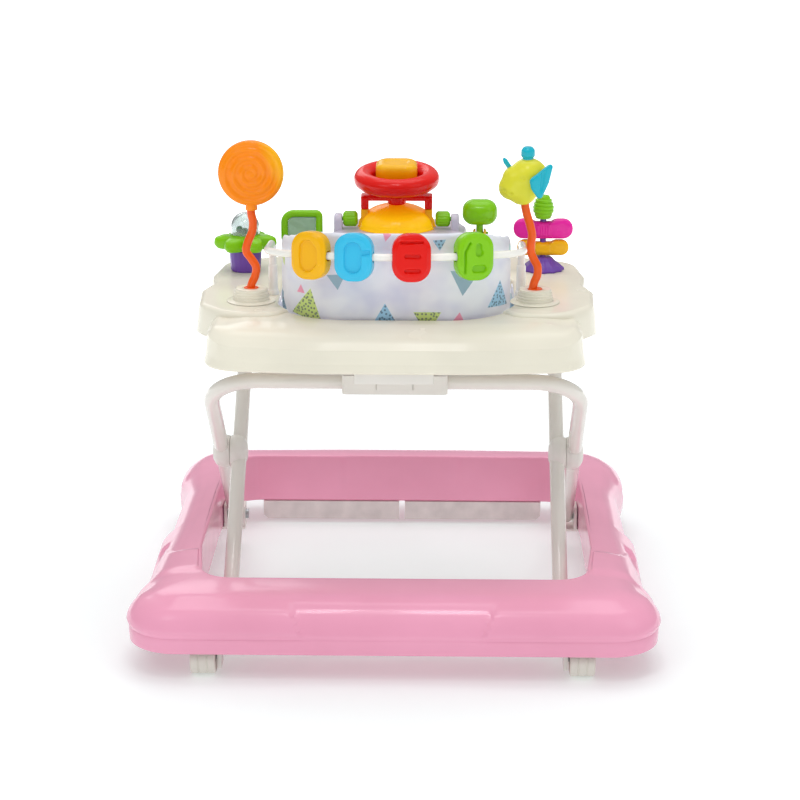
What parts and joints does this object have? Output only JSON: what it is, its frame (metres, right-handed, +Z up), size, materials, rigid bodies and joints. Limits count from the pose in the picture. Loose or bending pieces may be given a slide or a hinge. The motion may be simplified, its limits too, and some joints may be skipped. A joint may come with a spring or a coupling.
{
  "type": "baby walker",
  "caption": "Folding baby walker with a moulded rolling base ring, a scissor frame of bent tubes and a toy tray around a padded fabric seat.",
  "frame": {"origin": "on the floor, under the middle of the base ring", "axes": "+Y the way the child faces, +X to the child's right, +Z up"},
  "size_m": [0.628, 0.65, 0.5995],
  "materials": {
    "pink_plastic": "gloss",
    "white_plastic": "satin",
    "steel": "satin",
    "grip_rubber": "matte",
    "wheel_plastic": "satin",
    "white_paint": "gloss",
    "ivory_plastic": "gloss",
    "white_gloss": "gloss",
    "yellow_plastic": "gloss",
    "cyan_plastic": "gloss",
    "red_plastic": "gloss",
    "lime_plastic": "gloss",
    "printed_fabric": "woven print",
    "stalk_orange": "gloss",
    "orange_plastic": "gloss",
    "head_yellow": "satin",
    "teal_plastic": "gloss",
    "purple_plastic": "gloss",
    "clear_plastic": "clear moulding",
    "green_plastic": "gloss",
    "lavender_plastic": "gloss",
    "magenta_plastic": "gloss",
    "panel_plastic": "gloss",
    "cell_metal": "sleeved cell",
    "smoked_plastic": "smoked translucent"
  },
  "bodies": {
    "base": {"base_shell": "pink_plastic", "front_pivot_brackets": "white_plastic", "front_pivot_pins": "steel", "slide_channels": "white_plastic", "brake_strips": "grip_rubber", "rear_wheel_mounts": "white_plastic", "rear_axles": "steel", "caster_sockets": "white_plastic"},
    "rear_left_wheel": {"rear_wheel_left": "wheel_plastic"},
    "rear_right_wheel": {"rear_wheel_right": "wheel_plastic"},
    "left_caster": {"caster_left": "white_plastic"},
    "right_caster": {"caster_right": "white_plastic"},
    "front_left_wheel": {"front_wheel_left": "wheel_plastic"},
    "front_right_wheel": {"front_wheel_right": "wheel_plastic"},
    "outer_frame": {"outer_tube": "white_paint", "outer_hub_covers": "white_plastic", "cross_pins": "steel"},
    "inner_frame": {"inner_tube": "white_paint", "inner_hub_covers": "white_plastic"},
    "shoes": {"slide_shoes": "white_plastic"},
    "slider": {"height_slider": "white_plastic"},
    "latch": {"height_latch": "white_plastic"},
    "tray": {"tray_shell": "ivory_plastic", "height_rack": "ivory_plastic", "front_bar_clamps": "ivory_plastic", "stalk_sockets": "ivory_plastic", "seat_clips": "white_plastic", "play_bar": "white_gloss", "backrest_pad": "printed_fabric", "seat_sling": "printed_fabric", "rattle_pot": "purple_plastic", "butterfly_base": "lavender_plastic", "toy_panel": "panel_plastic", "battery_door": "panel_plastic", "batteries": "cell_metal", "panel_dome": "yellow_plastic", "panel_yoke": "red_plastic", "mirror_stand": "lime_plastic", "gear_boot": "yellow_plastic"},
    "bead_1": {"bead_yellow": "yellow_plastic"},
    "bead_2": {"bead_cyan": "cyan_plastic"},
    "bead_3": {"bead_red": "red_plastic"},
    "bead_4": {"bead_green": "lime_plastic"},
    "left_stalk": {"stalk_left": "stalk_orange", "lollipop": "orange_plastic"},
    "right_stalk": {"stalk_right": "stalk_orange", "giraffe_head": "head_yellow", "giraffe_ears": "teal_plastic"},
    "rattle": {"rattle_collar": "lime_plastic", "rattle_dome": "clear_plastic", "rattle_beads": "green_plastic"},
    "butterfly": {"butterfly_lower_wings": "yellow_plastic", "butterfly_wings": "magenta_plastic", "butterfly_head": "lime_plastic"},
    "wheel": {"steering_wheel": "red_plastic"},
    "horn": {"horn_button": "yellow_plastic"},
    "rollers": {"panel_rollers": "lime_plastic"},
    "mirror": {"mirror_frame": "lime_plastic", "mirror_pane": "smoked_plastic"},
    "gear": {"gear_lever": "lime_plastic"}
  },
  "joints": [
    {"name": "fold", "type": "hinge", "parent": "base", "child": "outer_frame", "pos_m": [0, 0.15, 0.046], "axis": [1, 0, 0], "range_deg": [0, 30]},
    {"name": "cross", "type": "hinge", "parent": "outer_frame", "child": "inner_frame", "pos_m": [0, -0.008, 0.184], "axis": [1, 0, 0], "range_deg": [-60, 0]},
    {"name": "tray_level", "type": "hinge", "parent": "inner_frame", "child": "tray", "pos_m": [0, 0.15, 0.322], "axis": [1, 0, 0], "range_deg": [0, 30]},
    {"name": "slider_level", "type": "hinge", "parent": "outer_frame", "child": "slider", "pos_m": [0, -0.166, 0.322], "axis": [1, 0, 0], "range_deg": [-30, 0]},
    {"name": "shoe_level", "type": "hinge", "parent": "inner_frame", "child": "shoes", "pos_m": [0, -0.166, 0.046], "axis": [1, 0, 0], "range_deg": [0, 30]},
    {"name": "latch_press", "type": "slide", "parent": "slider", "child": "latch", "axis": [0, 1, 0], "range_m": [0, 0.004], "stiffness_N_per_m": 200, "springref_m": -0.003},
    {"name": "rear_left_roll", "type": "hinge", "parent": "base", "child": "rear_left_wheel", "pos_m": [-0.222, -0.295, 0.02], "axis": [1, 0, 0], "continuous": true},
    {"name": "rear_right_roll", "type": "hinge", "parent": "base", "child": "rear_right_wheel", "pos_m": [0.222, -0.295, 0.02], "axis": [1, 0, 0], "continuous": true},
    {"name": "left_swivel", "type": "hinge", "parent": "base", "child": "left_caster", "pos_m": [-0.248, 0.276, 0.05], "axis": [0, 0, 1], "continuous": true},
    {"name": "right_swivel", "type": "hinge", "parent": "base", "child": "right_caster", "pos_m": [0.248, 0.276, 0.05], "axis": [0, 0, 1], "continuous": true},
    {"name": "front_left_roll", "type": "hinge", "parent": "left_caster", "child": "front_left_wheel", "pos_m": [-0.248, 0.266, 0.018], "axis": [1, 0, 0], "continuous": true},
    {"name": "front_right_roll", "type": "hinge", "parent": "right_caster", "child": "front_right_wheel", "pos_m": [0.248, 0.266, 0.018], "axis": [1, 0, 0], "continuous": true},
    {"name": "bead_1_turn", "type": "hinge", "parent": "tray", "child": "bead_1", "pos_m": [-0.097, -0.19362, 0.48119], "axis": [0.9147, -0.4022, 0.0397], "continuous": true},
    {"name": "bead_2_turn", "type": "hinge", "parent": "tray", "child": "bead_2", "pos_m": [-0.046, -0.20957, 0.48276], "axis": [0.9815, -0.1907, 0.0188], "continuous": true},
    {"name": "bead_3_turn", "type": "hinge", "parent": "tray", "child": "bead_3", "pos_m": [0.02, -0.21317, 0.48312], "axis": [0.9965, 0.0829, -0.0082], "continuous": true},
    {"name": "bead_4_turn", "type": "hinge", "parent": "tray", "child": "bead_4", "pos_m": [0.092, -0.19576, 0.4814], "axis": [0.9236, 0.3815, -0.0376], "continuous": true},
    {"name": "left_stalk_turn", "type": "hinge", "parent": "tray", "child": "left_stalk", "pos_m": [-0.176, -0.097, 0.412], "axis": [0, 0, 1], "range_deg": [-45, 45]},
    {"name": "right_stalk_turn", "type": "hinge", "parent": "tray", "child": "right_stalk", "pos_m": [0.168, -0.097, 0.412], "axis": [0, 0, 1], "range_deg": [-45, 45]},
    {"name": "rattle_turn", "type": "hinge", "parent": "tray", "child": "rattle", "pos_m": [-0.197, 0.07, 0.44], "axis": [0, 0, 1], "continuous": true},
    {"name": "butterfly_turn", "type": "hinge", "parent": "tray", "child": "butterfly", "pos_m": [0.184, 0.082, 0.457], "axis": [0, 0, 1], "continuous": true},
    {"name": "steer_turn", "type": "hinge", "parent": "tray", "child": "wheel", "pos_m": [-0.004, 0.104, 0.517], "axis": [0, -0.1219, 0.9925], "range_deg": [-60, 60]},
    {"name": "horn_press", "type": "slide", "parent": "wheel", "child": "horn", "axis": [0, 0.1219, -0.9925], "range_m": [0, 0.003], "stiffness_N_per_m": 600, "springref_m": -0.0025},
    {"name": "roller_turn", "type": "hinge", "parent": "tray", "child": "rollers", "pos_m": [-0.004, 0.101, 0.465], "axis": [1, 0, 0], "continuous": true},
    {"name": "mirror_turn", "type": "hinge", "parent": "tray", "child": "mirror", "pos_m": [-0.126, 0.096, 0.4365], "axis": [0, 0, 1], "continuous": true},
    {"name": "gear_tilt", "type": "hinge", "parent": "tray", "child": "gear", "pos_m": [0.103, 0.096, 0.447], "axis": [1, 0, 0], "range_deg": [-20, 20]}
  ],
  "couplings": [
    {"joint": "cross", "follows": "fold", "ratio": -2},
    {"joint": "tray_level", "follows": "fold", "ratio": 1},
    {"joint": "slider_level", "follows": "fold", "ratio": -1},
    {"joint": "shoe_level", "follows": "fold", "ratio": 1}
  ]
}
